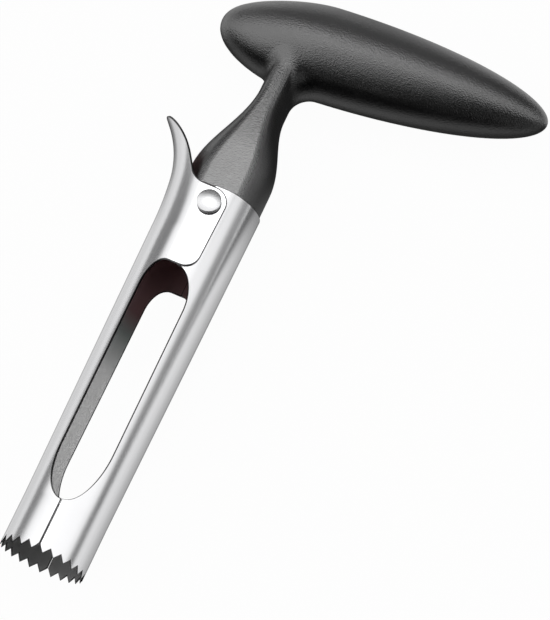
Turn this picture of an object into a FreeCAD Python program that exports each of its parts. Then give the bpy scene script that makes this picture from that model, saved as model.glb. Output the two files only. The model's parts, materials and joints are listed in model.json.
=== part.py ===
"""Apple corer: a T-handle on a steel barrel, which is split into a fixed half and one that a lever opens.

Modelled upright: Z runs up the barrel's axis from the tooth tips, X points to the handle bar's long end,
and the rivet lies along Y. At the end every piece is laid on its side, as the tool lies on a table.
All sizes are in millimetres, and angles in degrees.
"""

import FreeCAD
import Part
import math
import os

V = FreeCAD.Vector
SIDEWAYS = V(1, 0, 0)
ACROSS = V(0, 1, 0)
UP = V(0, 0, 1)

# Steel barrel: round at the mouth, and at the rim a wider round with its two cheeks pressed flat
steel_gauge = 0.5
mouth_diameter = 24.0
barrel_length = 112.9
barrel_depth = 24.26
cheek_press = 1.07
seam_gap = 0.3

# Teeth round the mouth
tooth_count = 24
tooth_depth = 1.9
tooth_edge = 0.2

# Long windows, half in each shell
window_start = 15.3
window_below_rim = 25.3
fixed_window_reach = 7.0
fixed_window_start_rise = 17.0
fixed_window_end_rise = 11.5
lever_window_reach = 7.3
lever_window_start_rise = 14.5
lever_window_end_rise = 8.5
lever_window_end_flat = 2.8

# Two-part rivet through both shells and the spigot
pivot_below_rim = 5.5
pivot_offset = 0.75
sleeve_diameter = 4.0
sleeve_bore = 2.6
head_diameter = 6.8
head_height = 1.5
head_dome = 0.25
head_bevel = 0.25

# Ears of the lever shell, and the hidden lugs of the fixed shell
ear_radius = 4.85
ear_corner = 4.4
ear_side_lean = 1.5
lug_radius = 4.0

# Thumb lever
lever_start_below_rim = 15.0
lever_start_spread = 0.1
lever_lean_radius = 100.0
lever_lean_angle = 8.6
lever_bend_radius = 32.0
lever_bend_angle = 41.0
lever_straight = 2.3
lever_edge_start = 5.4
lever_edge_lean = 37.0
lever_edge_fillet = 6.0
lever_tip_length = 9.0

# Handle bar: two half ellipsoids on one tilted axis
bar_radius = 13.7
bar_short_end = 32.0
bar_long_end = 65.3
bar_rise = 53.9
bar_offset = 10.2
bar_tilt = 4.2

# Neck between barrel and bar: widths to the left and right of the barrel's axis, rises above the rim
left_shoulder = 10.8
right_shoulder = 12.65
left_waist = 2.4
right_waist = 6.9
left_shoulder_rise = 6.1
left_waist_rise = 34.6
right_shoulder_rise = 8.1
right_waist_rise = 32.1
neck_depth = 24.9
neck_waist_depth = 22.9
neck_flat_depth = 22.5
neck_waist_flat_depth = 21.9
neck_sections = 7
oval_points = 16

# Handle core under the skin
skin_thickness = 1.6
spigot_length = 16.0

# Fits
ear_clearance = 0.12
pivot_clearance = 0.05
press_clearance = 0.02
spigot_clearance = 0.08
head_clearance = 0.12

# Sizes worked out from those above
mouth_radius = mouth_diameter / 2
shell_flat = barrel_depth / 2
rim_radius = shell_flat + cheek_press
ear_inner_flat = shell_flat + ear_clearance
ear_flat = ear_inner_flat + steel_gauge
lever_start_radius = rim_radius + lever_start_spread
window_end = barrel_length - window_below_rim
pivot_height = barrel_length - pivot_below_rim
ear_top = pivot_height + ear_radius
lever_start = barrel_length - lever_start_below_rim
waist_rise = max(left_waist_rise, right_waist_rise)
waist_height = barrel_length + waist_rise
bar_height = barrel_length + bar_rise
beyond = 4 * barrel_length


def polygon_face(points):
    """The flat face inside a closed line through the points."""
    return Part.Face(Part.makePolygon(points + [points[0]]))


def through_block(face):
    """The block that a face in the XZ plane makes when it is carried through the whole tool along Y."""
    block = face.extrude(ACROSS * (2 * beyond))
    block.translate(ACROSS * -beyond)
    return block


def arc_about(centre, radius, first, last):
    """An arc in the XZ plane, its angles counted from +X towards +Z."""
    turns = [math.radians(angle) for angle in (first, (first + last) / 2, last)]
    points = [centre + V(math.cos(turn), 0, math.sin(turn)) * radius for turn in turns]
    return Part.Arc(*points).toShape()


def line(start, end):
    """A straight edge."""
    return Part.LineSegment(start, end).toShape()


def revolved_stack(stations):
    """The solid turned about Z through (height, radius) stations."""
    outline = [V(0, 0, stations[0][0])]
    outline += [V(radius, 0, height) for height, radius in stations]
    outline += [V(0, 0, stations[-1][0])]
    return polygon_face(outline).revolve(V(0, 0, 0), UP, 360)


def flat_sided(shape, stations):
    """The shape cut to two flats that face along Y, through (height, distance from the axis) stations."""
    front = [V(-beyond, distance, height) for height, distance in stations]
    back = [V(-beyond, -distance, height) for height, distance in reversed(stations)]
    return shape.common(polygon_face(front + back).extrude(SIDEWAYS * (2 * beyond)))


def fixed_form(inset):
    """The closed form of the fixed shell: round at the mouth, wider and flat-sided at the rim."""
    slope = (rim_radius - mouth_radius) / (barrel_length - window_start)
    bottom = -tooth_depth
    top = barrel_length + tooth_depth
    top_radius = rim_radius + slope * (top - barrel_length)
    stations = [(bottom, mouth_radius - inset), (window_start, mouth_radius - inset)]
    stations.append((top, top_radius - inset))
    return flat_sided(revolved_stack(stations), [(bottom, shell_flat - inset), (top, shell_flat - inset)])


def lever_path():
    """The lever shell's outer line in the XZ plane: a lean, a bend, then straight to the tip.

    Returns it as a wire, with its tip and the direction across the sheet there.
    """
    start = V(-lever_start_radius, 0, lever_start)
    lean_centre = start - SIDEWAYS * lever_lean_radius
    lean = arc_about(lean_centre, lever_lean_radius, 0, lever_lean_angle)
    turn = math.radians(lever_lean_angle)
    lean_end = lean_centre + V(math.cos(turn), 0, math.sin(turn)) * lever_lean_radius
    bend_centre = lean_end - V(math.cos(turn), 0, math.sin(turn)) * lever_bend_radius
    bend = arc_about(bend_centre, lever_bend_radius, lever_lean_angle, lever_bend_angle)
    turn = math.radians(lever_bend_angle)
    inward = V(math.cos(turn), 0, math.sin(turn))
    onward = V(-math.sin(turn), 0, math.cos(turn))
    bend_end = bend_centre + inward * lever_bend_radius
    tip = bend_end + onward * lever_straight
    return Part.Wire([lean, bend, line(bend_end, tip)]), tip, inward


def lever_form(inset):
    """The closed form of the lever shell: a cone, its round section run along the path, and straight ears."""
    bottom = -tooth_depth
    stations = [(bottom, mouth_radius - inset), (window_start, mouth_radius - inset)]
    stations.append((lever_start, lever_start_radius - inset))
    section = Part.Wire(Part.Circle(UP * lever_start, UP, lever_start_radius - inset).toShape())
    curled = lever_path()[0].makePipeShell([section], True, False)
    ear_side = Part.makeBox(mouth_diameter, 2 * beyond, barrel_length, V(0, -beyond, window_start))
    flats = [(bottom, mouth_radius - inset), (window_start, mouth_radius - inset)]
    flats += [(window_end, ear_flat - inset), (beyond, ear_flat - inset)]
    return flat_sided(revolved_stack(stations).fuse([curled, ear_side]), flats)


def elliptical_arc(centre, wide, high, first, last):
    """Part of an ellipse in the XZ plane: a unit circle's arc stretched to its two half axes."""
    stretch = FreeCAD.Matrix()
    stretch.A11 = wide
    stretch.A33 = high
    stretch.A14 = centre.x
    stretch.A34 = centre.z
    return arc_about(V(0, 0, 0), 1.0, first, last).transformGeometry(stretch)


def window_block(reach, start_rise, end_rise, end_flat=0.0):
    """One long window through both sides: straight edges, and elliptical ends that may hold a flat."""
    start = window_start + start_rise
    end = window_end - end_rise
    edges = [
        elliptical_arc(V(0, 0, start), reach, start_rise, 180, 360),
        line(V(reach, 0, start), V(reach, 0, end)),
        elliptical_arc(V(end_flat, 0, end), reach - end_flat, end_rise, 0, 90),
        elliptical_arc(V(-end_flat, 0, end), reach - end_flat, end_rise, 90, 180),
        line(V(-reach, 0, end), V(-reach, 0, start)),
    ]
    if end_flat > 0:
        edges.insert(3, line(V(end_flat, 0, window_end), V(-end_flat, 0, window_end)))
    return through_block(Part.Face(Part.Wire(edges)))


def tooth_gaps():
    """The V-shaped gaps between the teeth, with one on each seam."""
    half_pitch = math.pi * mouth_radius / tooth_count
    half_mouth = half_pitch * (1 + 1 / tooth_depth)
    outline = polygon_face([V(0, -half_mouth, -1), V(0, half_mouth, -1), V(0, 0, tooth_depth)])
    gap = outline.extrude(SIDEWAYS * mouth_diameter)
    gap.rotate(V(0, 0, 0), UP, 90)
    gaps = []
    for index in range(tooth_count):
        turned = gap.copy()
        turned.rotate(V(0, 0, 0), UP, index * 360 / tooth_count)
        gaps.append(turned)
    return gaps


def mouth_bevel():
    """The cutter that thins the teeth from the inside to a sharp edge."""
    edge_radius = mouth_radius - tooth_edge
    inner_radius = mouth_radius - steel_gauge
    below = edge_radius + (edge_radius - inner_radius) / tooth_depth
    return revolved_stack([(-1, below), (tooth_depth, inner_radius)])


def pivot_bore(radius):
    """A round bar along the rivet's axis, right through the tool."""
    return Part.makeCylinder(radius, 2 * beyond, V(pivot_offset, -beyond, pivot_height), ACROSS)


def fixed_shell():
    """The pressed steel half that is fixed to the handle: half of the barrel, and a lug round the rivet."""
    half = Part.makeBox(beyond, 2 * beyond, barrel_length, V(seam_gap / 2, -beyond, 0))
    outline = half.fuse(pivot_bore(lug_radius))
    shell = fixed_form(0).cut(fixed_form(steel_gauge)).common(outline)
    window = window_block(fixed_window_reach, fixed_window_start_rise, fixed_window_end_rise)
    return shell.cut([window, mouth_bevel(), pivot_bore(sleeve_diameter / 2)] + tooth_gaps())


def lever_outline():
    """The lever shell seen from the side: seam, ear round the rivet, then the lever's edge up to its tip."""
    tip, inward = lever_path()[1:]
    side = V(-seam_gap / 2, 0, 0)
    pivot = V(pivot_offset, 0, pivot_height)
    lean = math.radians(ear_side_lean)
    outward = V(math.cos(lean), 0, -math.sin(lean))
    drop = pivot_height - window_end - ear_corner
    corner_middle = V(0, 0, window_end + ear_corner)
    corner_middle.x = pivot_offset + (ear_radius - ear_corner) / math.cos(lean) - drop * math.tan(lean)
    corner = V(-lever_edge_start, 0, ear_top)
    edge_lean = math.radians(lever_edge_lean)
    edge_onward = V(-math.sin(edge_lean), 0, math.cos(edge_lean))
    edge_inward = V(math.cos(edge_lean), 0, math.sin(edge_lean))
    half_turn = (math.pi / 2 - edge_lean) / 2
    fillet_reach = lever_edge_fillet * math.tan(half_turn)
    fillet_start = corner + SIDEWAYS * fillet_reach
    fillet_end = corner + edge_onward * fillet_reach
    fillet_centre = fillet_start + UP * lever_edge_fillet
    fillet_middle = fillet_centre + (corner - fillet_centre).normalize() * lever_edge_fillet
    tip_start = corner + edge_onward * ((tip - corner).dot(edge_onward) - lever_tip_length)
    inset = (tip_start - tip).dot(edge_inward)
    half_chord = math.hypot(lever_tip_length, inset) / 2
    bulge = half_chord * math.tan(math.atan2(inset, lever_tip_length) / 2)
    beside = (edge_inward * lever_tip_length + edge_onward * inset).normalize()
    tip_middle = (tip_start + tip) / 2 + beside * bulge
    outer_tip = tip - inward * (2 * steel_gauge)
    edges = [
        line(V(-beyond, 0, -1), side + V(0, 0, -1)),
        line(side + V(0, 0, -1), side + UP * window_end),
        line(side + UP * window_end, corner_middle - UP * ear_corner),
        arc_about(corner_middle, ear_corner, -90, -ear_side_lean),
        line(corner_middle + outward * ear_corner, pivot + outward * ear_radius),
        arc_about(pivot, ear_radius, -ear_side_lean, 90),
        line(pivot + UP * ear_radius, fillet_start),
        Part.Arc(fillet_start, fillet_middle, fillet_end).toShape(),
        line(fillet_end, tip_start),
        Part.Arc(tip_start, tip_middle, tip).toShape(),
        line(tip, outer_tip),
        line(outer_tip, V(-beyond, 0, outer_tip.z)),
        line(V(-beyond, 0, outer_tip.z), V(-beyond, 0, -1)),
    ]
    return through_block(Part.Face(Part.Wire(edges)))


def lever_shell():
    """The pressed steel half that opens: half of the barrel, two ears on the rivet, and the thumb lever."""
    shell = lever_form(0).cut(lever_form(steel_gauge)).common(lever_outline())
    window = window_block(
        lever_window_reach, lever_window_start_rise, lever_window_end_rise, lever_window_end_flat
    )
    ear_hole = pivot_bore(sleeve_diameter / 2 + pivot_clearance)
    return shell.cut([window, mouth_bevel(), ear_hole] + tooth_gaps())


def bar_form(inset):
    """The handle bar: two half ellipsoids that meet at its thickest place, on one tilted axis."""
    radius = bar_radius - inset
    short_end = bar_short_end - inset
    long_end = bar_long_end - inset
    edges = [
        elliptical_arc(V(0, 0, 0), short_end, radius, 180, 90),
        elliptical_arc(V(0, 0, 0), long_end, radius, 90, 0),
        line(V(long_end, 0, 0), V(-short_end, 0, 0)),
    ]
    bar = Part.Face(Part.Wire(edges)).revolve(V(0, 0, 0), SIDEWAYS, 360)
    bar.rotate(V(0, 0, 0), ACROSS, -bar_tilt)
    bar.translate(V(bar_offset, 0, bar_height))
    return bar


def blended(first, last, first_rise, last_rise, rise):
    """A size that eases from first to last between two rises above the rim, along half a cosine wave."""
    share = min(max((rise - first_rise) / (last_rise - first_rise), 0), 1)
    return first + (last - first) * (1 - math.cos(math.pi * share)) / 2


def neck_section(rise, inset):
    """The neck's oval outline above the rim, as a closed curve through evenly turned points of an ellipse."""
    left = blended(left_shoulder, left_waist, left_shoulder_rise, left_waist_rise, rise)
    right = blended(right_shoulder, right_waist, right_shoulder_rise, right_waist_rise, rise)
    depth = blended(neck_depth, neck_waist_depth, 0, waist_rise, rise)
    middle = V((right - left) / 2, 0, barrel_length + rise)
    half_width = (right + left) / 2 - inset
    half_depth = depth / 2 - inset
    turns = [2 * math.pi * index / oval_points for index in range(oval_points)]
    points = [middle + V(half_width * math.cos(turn), half_depth * math.sin(turn), 0) for turn in turns]
    oval = Part.BSplineCurve()
    oval.interpolate(points, PeriodicFlag=True)
    return Part.Wire(oval.toShape())


def neck_form(inset):
    """The neck: ovals from the rim to the waist, then straight into the bar, with two flats all along it."""
    step = waist_rise / (neck_sections - 1)
    sections = [neck_section(step * index, inset) for index in range(neck_sections)]
    waisted = Part.makeLoft(sections, True, False)
    straight = Part.Face(sections[-1]).extrude(UP * (bar_height - waist_height))
    rim_flat = neck_flat_depth / 2 - inset
    waist_flat = neck_waist_flat_depth / 2 - inset
    flats = [(barrel_length, rim_flat), (waist_height, waist_flat), (bar_height, waist_flat)]
    return flat_sided(waisted.fuse(straight), flats)


def handle_form(inset):
    """The whole handle above the rim: the bar on its neck."""
    return bar_form(inset).fuse(neck_form(inset))


def spigot():
    """The foot of the neck, which fills the fixed shell from its rim down."""
    foot = Part.Face(neck_section(-spigot_length, 0)).extrude(UP * spigot_length)
    return foot.common(fixed_form(steel_gauge + spigot_clearance))


def handle_grip():
    """The skin of the handle, from the barrel's rim over the neck and the whole bar."""
    return handle_form(0).cut(handle_form(skin_thickness))


def handle_core():
    """The rigid core under the skin, with the spigot that stands in the barrel and holds the rivet."""
    return handle_form(skin_thickness).fuse(spigot()).cut(pivot_bore(sleeve_diameter / 2))


def rivet_head(side):
    """One low-domed, bevelled rivet head, outside the ear on the front (-1) or the back (1)."""
    half = head_diameter / 2
    reach = half - head_bevel
    dome_start = head_height - head_dome
    dome_radius = (reach ** 2 + head_dome ** 2) / (2 * head_dome)
    dome_turn = math.degrees(math.asin(reach / dome_radius))
    edges = [
        line(V(0, 0, 0), V(half, 0, 0)),
        line(V(half, 0, 0), V(half, 0, dome_start - head_bevel)),
        line(V(half, 0, dome_start - head_bevel), V(reach, 0, dome_start)),
        arc_about(UP * (head_height - dome_radius), dome_radius, 90 - dome_turn, 90),
        line(V(0, 0, head_height), V(0, 0, 0)),
    ]
    head = Part.Face(Part.Wire(edges)).revolve(V(0, 0, 0), UP, 360)
    head.rotate(V(0, 0, 0), SIDEWAYS, -90 * side)
    head.translate(V(pivot_offset, side * (ear_flat + head_clearance), pivot_height))
    return head


def pivot_sleeve():
    """The front half of the rivet: a head and the tube that the ears turn on."""
    reach = ear_flat + head_clearance
    front = V(pivot_offset, -reach, pivot_height)
    tube = Part.makeCylinder(sleeve_diameter / 2, 2 * reach, front, ACROSS)
    bore = Part.makeCylinder(sleeve_bore / 2, 2 * reach, front, ACROSS)
    return rivet_head(-1).fuse(tube).cut(bore)


def pivot_pin():
    """The back half of the rivet: a head and the pin pressed into the tube."""
    reach = ear_flat + head_clearance
    back = V(pivot_offset, reach, pivot_height)
    pin = Part.makeCylinder(sleeve_bore / 2 - press_clearance, 2 * reach - head_height, back, ACROSS * -1)
    return rivet_head(1).fuse(pin)


def laid_down(pieces):
    """The pieces on their side, front up and barrel along Y, over the middle of their own footprint."""
    turned = {}
    for name, shape in pieces.items():
        turned[name] = shape.copy()
        turned[name].rotate(V(0, 0, 0), SIDEWAYS, -90)
    box = Part.makeCompound(list(turned.values())).optimalBoundingBox()
    shift = V(-(box.XMin + box.XMax) / 2, -(box.YMin + box.YMax) / 2, -box.ZMin)
    for shape in turned.values():
        shape.translate(shift)
    return turned, shift


PIECES = {
    "handle_core": handle_core,
    "handle_grip": handle_grip,
    "fixed_shell": fixed_shell,
    "lever_shell": lever_shell,
    "pivot_sleeve": pivot_sleeve,
    "pivot_pin": pivot_pin,
}

upright = {name: make() for name, make in PIECES.items()}
lying, origin_shift = laid_down(upright)
os.makedirs("parts", exist_ok=True)
for name, shape in lying.items():
    shape.exportStep(f"parts/{name}.step")
    print(name, "solids", len(shape.Solids), "valid", shape.isValid(), "volume", round(shape.Volume, 1))
print("moved to its footprint by", [round(value, 3) for value in origin_shift])
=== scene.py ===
# %% [markdown]
# # An apple corer, dressed for its picture
# The tool lies on its side on a pale table: a steel barrel with teeth round its mouth, split lengthwise into
# a fixed half and a half that a thumb lever opens, a two-part rivet that the halves turn on, and a black
# T-handle. The solid model is the frame. It says where everything is and how it moves, and nothing here moves
# or resizes it. This lesson gives each piece its finish: rolled sheet edges, one flowing skin for the handle,
# and real surfaces.

# %% Load the frame
import json
import math

import bpy
import numpy as np
from mathutils import Matrix, Vector


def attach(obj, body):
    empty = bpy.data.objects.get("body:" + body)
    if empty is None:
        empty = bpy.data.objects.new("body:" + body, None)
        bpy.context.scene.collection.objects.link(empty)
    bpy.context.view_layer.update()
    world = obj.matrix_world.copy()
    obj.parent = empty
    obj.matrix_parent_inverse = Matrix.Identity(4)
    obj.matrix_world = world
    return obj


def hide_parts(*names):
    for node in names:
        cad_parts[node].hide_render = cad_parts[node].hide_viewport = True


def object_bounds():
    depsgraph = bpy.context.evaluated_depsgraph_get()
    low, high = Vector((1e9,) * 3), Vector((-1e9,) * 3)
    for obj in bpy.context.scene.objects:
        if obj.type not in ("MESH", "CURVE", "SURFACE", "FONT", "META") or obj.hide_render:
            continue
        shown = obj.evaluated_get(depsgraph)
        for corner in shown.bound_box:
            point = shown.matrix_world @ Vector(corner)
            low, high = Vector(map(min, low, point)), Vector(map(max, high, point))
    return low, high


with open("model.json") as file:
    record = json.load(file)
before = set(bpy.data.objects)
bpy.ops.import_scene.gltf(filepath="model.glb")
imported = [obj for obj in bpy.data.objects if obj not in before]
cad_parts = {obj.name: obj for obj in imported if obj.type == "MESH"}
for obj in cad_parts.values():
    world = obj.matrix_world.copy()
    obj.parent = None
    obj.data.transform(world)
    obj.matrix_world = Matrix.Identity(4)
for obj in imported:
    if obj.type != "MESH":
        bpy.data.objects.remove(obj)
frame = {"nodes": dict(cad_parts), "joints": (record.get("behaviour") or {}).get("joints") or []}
solid_box = [list(corner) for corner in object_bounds()]
print("solid box, mm:", [[round(value * 1000, 2) for value in corner] for corner in solid_box])

# %% [markdown]
# ## Working upright
# A corer is easiest to think about standing on its teeth: z up the barrel, x towards the handle's long end,
# and y through the rivet. So every shape below is worked out upright in millimetres, and one function lays it
# on its side in metres. The rivet's crossing with the middle plane ties the two: the frame's hinge says where
# it lies.

# %% From upright millimetres to the frame
MM = 0.001
rivet_offset = 0.75
rivet_height = 107.4
rivet_middle = (rivet_offset, rivet_height)
upright_rivet = np.array([rivet_offset, 0.0, rivet_height])
hinge_place = np.array(frame["joints"][0]["pos_m"])


def laid_down(points):
    """Upright (x, y, z) in mm becomes (x, z, -y) in metres, carried so that the rivet lies on the hinge."""
    away = (np.asarray(points, float) - upright_rivet) * MM
    return np.stack([away[..., 0], away[..., 2], -away[..., 1]], axis=-1) + hinge_place


print("mouth centre in the frame:", laid_down([0, 0, 0]).round(5))

# %% [markdown]
# ## The camera
# The photograph is a long-lens picture from above and a little from the mouth's side, turned so that the
# barrel climbs to the right. A camera needs a place and three directions; here its right and up directions
# are given, and the third is their cross product. A 159 mm lens on a 36 mm frame keeps the perspective as
# flat as it is there.

# %% Set up the camera
camera_place = Vector((0.11850, -0.24289, 0.71445))
camera_right = Vector((0.91456, 0.40427, -0.01239))
camera_up = Vector((-0.37336, 0.85561, 0.35852))
camera_lens = 159.33

camera_back = camera_right.cross(camera_up).normalized()
turn = Matrix((camera_right, camera_up, camera_back)).transposed().to_4x4()
camera_data = bpy.data.cameras.new("camera")
camera_data.lens = camera_lens
camera_data.clip_start = 0.01
camera_data.clip_end = 100.0
camera = bpy.data.objects.new("camera", camera_data)
camera.matrix_world = Matrix.Translation(camera_place) @ turn
bpy.context.scene.collection.objects.link(camera)
bpy.context.scene.camera = camera
bpy.context.scene.view_settings.view_transform = "Standard"
print("camera looks along", [round(-value, 3) for value in camera_back])

# %% [markdown]
# ## Small helpers for node materials
# A material is a tree of nodes. Short helpers keep the cells readable: each adds one node, feeds its inputs
# and hands back its result. What is fed in may be another node's socket or a plain value.

# %% Helpers for node trees


def add_node(tree, kind, place, **settings):
    """A new node of a kind at a place on the sheet, with its settings; in_Scale sets the input Scale."""
    node = tree.nodes.new(kind)
    node.location = place
    for key, value in settings.items():
        if key.startswith("in_"):
            node.inputs[key[3:].replace("_", " ")].default_value = value
        else:
            setattr(node, key, value)
    return node


def feed(tree, socket, value):
    """Gives an input its value: a link from another node's socket, or the plain value itself."""
    if isinstance(value, bpy.types.NodeSocket):
        tree.links.new(value, socket)
    else:
        socket.default_value = value


def combined(tree, operation, first, second, place):
    """One arithmetic node with two inputs."""
    node = add_node(tree, "ShaderNodeMath", place, operation=operation)
    feed(tree, node.inputs[0], first)
    feed(tree, node.inputs[1], second)
    return node.outputs[0]


def folded(tree, operation, values, place):
    """One operation carried through a list: MULTIPLY gives the product of all, MAXIMUM the largest."""
    total = values[0]
    for step, value in enumerate(values[1:]):
        total = combined(tree, operation, total, value, (place[0] + 160 * step, place[1]))
    return total


def remapped(tree, value, low, high, place, start=0.0, end=1.0, smooth=True):
    """The start below the low value, the end past the high one, and a smooth or straight climb between."""
    curve = "SMOOTHSTEP" if smooth else "LINEAR"
    climb = add_node(tree, "ShaderNodeMapRange", place, interpolation_type=curve)
    labels = ("Value", "From Min", "From Max", "To Min", "To Max")
    for label, number in zip(labels, (value, low, high, start, end)):
        feed(tree, climb.inputs[label], number)
    return climb.outputs["Result"]


def scaled(tree, vector, factor, place):
    """A colour or a vector times one number."""
    node = add_node(tree, "ShaderNodeVectorMath", place, operation="SCALE")
    feed(tree, node.inputs[0], vector)
    feed(tree, node.inputs["Scale"], factor)
    return node.outputs[0]


def blended(tree, kind, share, first, second, place):
    """Between two colours (RGBA) or two numbers (FLOAT), by a share from 0 to 1."""
    node = add_node(tree, "ShaderNodeMix", place, data_type=kind)
    for label, value in (("Factor", share), ("A", first), ("B", second)):
        feed(tree, node.inputs[label], value)
    return node.outputs["Result"]


def colour_ramp(tree, value, stops, place):
    """Straight blends between the colours of (position, colour) stops; beyond the outer two they hold."""
    ramp = add_node(tree, "ShaderNodeValToRGB", place)
    elements = ramp.color_ramp.elements
    for index in (0, -1):
        elements[index].position = stops[index][0]
        elements[index].color = (*stops[index][1], 1.0)
    for position, colour in stops[1:-1]:
        elements.new(position).color = (*colour, 1.0)
    feed(tree, ramp.inputs["Fac"], value)
    return ramp.outputs["Color"]


def axes_of(tree, coordinates, place):
    """The X, Y and Z of a coordinate, as three sockets."""
    node = add_node(tree, "ShaderNodeSeparateXYZ", place)
    feed(tree, node.inputs[0], coordinates)
    return node.outputs


def either_shader(tree, share, first, second, place):
    """The first shader where the share is 0, the second where it is 1."""
    node = add_node(tree, "ShaderNodeMixShader", place)
    for socket, value in zip(node.inputs, (share, first, second)):
        feed(tree, socket, value)
    return node.outputs[0]


def new_group(name, inputs, outputs):
    """A shader node group with named sockets: inputs are (name, kind, value), outputs are (name, kind)."""
    group = bpy.data.node_groups.new(name, "ShaderNodeTree")
    for label, kind, value in inputs:
        socket = group.interface.new_socket(name=label, in_out="INPUT", socket_type=kind)
        if value is not None:
            socket.default_value = value
    for label, kind in outputs:
        group.interface.new_socket(name=label, in_out="OUTPUT", socket_type=kind)
    entry = add_node(group, "NodeGroupInput", (-900, 0))
    leave = add_node(group, "NodeGroupOutput", (700, 0))
    return group, entry, leave


def new_material(name, colour, roughness, metallic):
    """An empty finish: a Principled surface with its plain values, ready for nodes that vary them."""
    material = bpy.data.materials.new(name)
    material.use_nodes = True
    tree = material.node_tree
    surface = tree.nodes["Principled BSDF"]
    surface.inputs["Base Color"].default_value = (*colour, 1.0)
    surface.inputs["Roughness"].default_value = roughness
    surface.inputs["Metallic"].default_value = metallic
    return material, tree, surface


def place_group(tree, group, place, **values):
    """A group placed in a material, with this material's own input values."""
    node = add_node(tree, "ShaderNodeGroup", place)
    node.node_tree = group
    for key, value in values.items():
        node.inputs[key.replace("_", " ")].default_value = value
    return node


print("node helpers ready")

# %% [markdown]
# ## The studio
# Polished steel shows little of itself and much of the room. In the photograph a wide white panel stands
# overhead, with dark gaps between it and the pale table, and the barrel mirrors both as long bands. A world
# shader can be that room: it turns each direction into an angle round the barrel and an angle along it, and
# is bright inside the panel. A strip of the panel is brighter, with a core that is brighter still, and a few
# dim regions stand beside it. All else is black. Camera rays see plain white, which gives the white
# background. The values were found by comparing renders with the photograph.

# %% The lights of the room
panel_left = math.radians(-82)
panel_right = math.radians(75)
panel_strength = 1.4
panel_softness = math.radians(6)
# The panel's outline in degrees: an angle round the barrel, then its low and its high edge along it.
panel_edges = [
    (-90, -68, 30), (-76, -68, 30), (-64, -68, 2), (-52, -66, 2), (-28, -48, 16), (-9, -47, 25),
    (-2, -28, 25), (6, -6, 24), (40, -6, 27), (60, -6, 44), (90, -6, 44),
]
strip_low = math.radians(5)
strip_high = math.radians(27)
strip_strength = 1.7
core_round = (math.radians(-19.5), math.radians(0.5))
core_along = (math.radians(12), math.radians(26))
core_strength = 4.0
gap_right = math.radians(28)
side_start = math.radians(62)
lever_bottom = math.radians(-84)
# Each dim region is a strength and soft steps of (measure, where it starts, where it is full). A measure is
# the angle round or along the barrel, the direction's own X or Y, or how large X or Y is with no sign.
dim_regions = {
    "beyond the handle": (0.30, [
        ("along", strip_high, strip_high + 0.40), ("round", gap_right + 0.30, gap_right),
    ]),
    "right side": (0.20, [
        ("round", side_start, side_start + 0.20), ("along", strip_high + 0.10, strip_high - 0.10),
    ]),
    "low on the right": (0.40, [("x", 0.62, 0.78), ("y", 0.0753, 0.2847), ("y", 0.6047, 0.3953)]),
    "lever side": (0.85, [
        ("round", panel_left + 0.15, panel_left), ("along", strip_low, strip_low - 0.25),
        ("along", lever_bottom - 0.10, lever_bottom + 0.10),
    ]),
    "corners": (0.90, [("x size", 0.52, 0.72), ("y size", 0.54, 0.70)]),
}


def soft_span(tree, angle, low, high, place):
    """One inside a span of angles and nothing outside, with soft ends; each end is a socket or a number."""
    past_low = combined(tree, "SUBTRACT", angle, low, place)
    before_high = combined(tree, "SUBTRACT", high, angle, (place[0], place[1] - 200))
    rise = remapped(tree, past_low, -panel_softness, panel_softness, (place[0] + 200, place[1]))
    fall = remapped(tree, before_high, -panel_softness, panel_softness, (place[0] + 200, place[1] - 280))
    return combined(tree, "MULTIPLY", rise, fall, (place[0] + 400, place[1]))


def edge_angles(tree, angle, place):
    """The panel's low and high edge, as angles along the barrel, at each angle round it.

    A colour ramp holds the outline: an angle from -90 to 90 degrees is stored as a number from 0 to 1.
    """
    share = remapped(tree, angle, -math.pi / 2, math.pi / 2, place, smooth=False)
    shares = np.array(panel_edges) / 180 + 0.5
    stops = [(turn, (low, high, 0.0)) for turn, low, high in shares.tolist()]
    split = add_node(tree, "ShaderNodeSeparateColor", (place[0] + 500, place[1]))
    feed(tree, split.inputs["Color"], colour_ramp(tree, share, stops, (place[0] + 200, place[1])))
    edges = []
    for row, label in enumerate(("Red", "Green")):
        across, down = place[0] + 700, place[1] - 150 * row
        turned = combined(tree, "SUBTRACT", split.outputs[label], 0.5, (across, down))
        edges.append(combined(tree, "MULTIPLY", turned, math.pi, (across + 200, down)))
    return edges


print("panel spans", round(math.degrees(panel_left)), "to", round(math.degrees(panel_right)), "degrees")
print("dim regions:", ", ".join(dim_regions))

# %% Shine them from the world
world = bpy.data.worlds.new("studio")
bpy.context.scene.world = world
world.use_nodes = True
sky = world.node_tree
sky.nodes.clear()
direction = add_node(sky, "ShaderNodeTexCoord", (-2800, 0))
axes = axes_of(sky, direction.outputs["Generated"], (-2600, 0))
measures = {
    "x": axes["X"],
    "y": axes["Y"],
    "round": combined(sky, "ARCTAN2", axes["X"], axes["Z"], (-2400, 150)),
    "along": combined(sky, "ARCTAN2", axes["Y"], axes["Z"], (-2400, -150)),
    "x size": combined(sky, "ABSOLUTE", axes["X"], 0.0, (-2400, -450)),
    "y size": combined(sky, "ABSOLUTE", axes["Y"], 0.0, (-2400, -750)),
}
round_way, along_way = measures["round"], measures["along"]
low_edge, high_edge = edge_angles(sky, round_way, (-2400, 600))
lights = [
    [soft_span(sky, along_way, low_edge, high_edge, (-1200, 600)), panel_strength],
    [soft_span(sky, along_way, strip_low, strip_high, (-1200, 1200)), strip_strength],
    [
        soft_span(sky, round_way, *core_round, (-1200, 1800)),
        soft_span(sky, along_way, *core_along, (-1200, 2400)), core_strength,
    ],
]
lights = [folded(sky, "MULTIPLY", light, (-700, 600 * row)) for row, light in enumerate(lights, 1)]
across = soft_span(sky, round_way, panel_left, panel_right, (-1200, 0))
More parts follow.
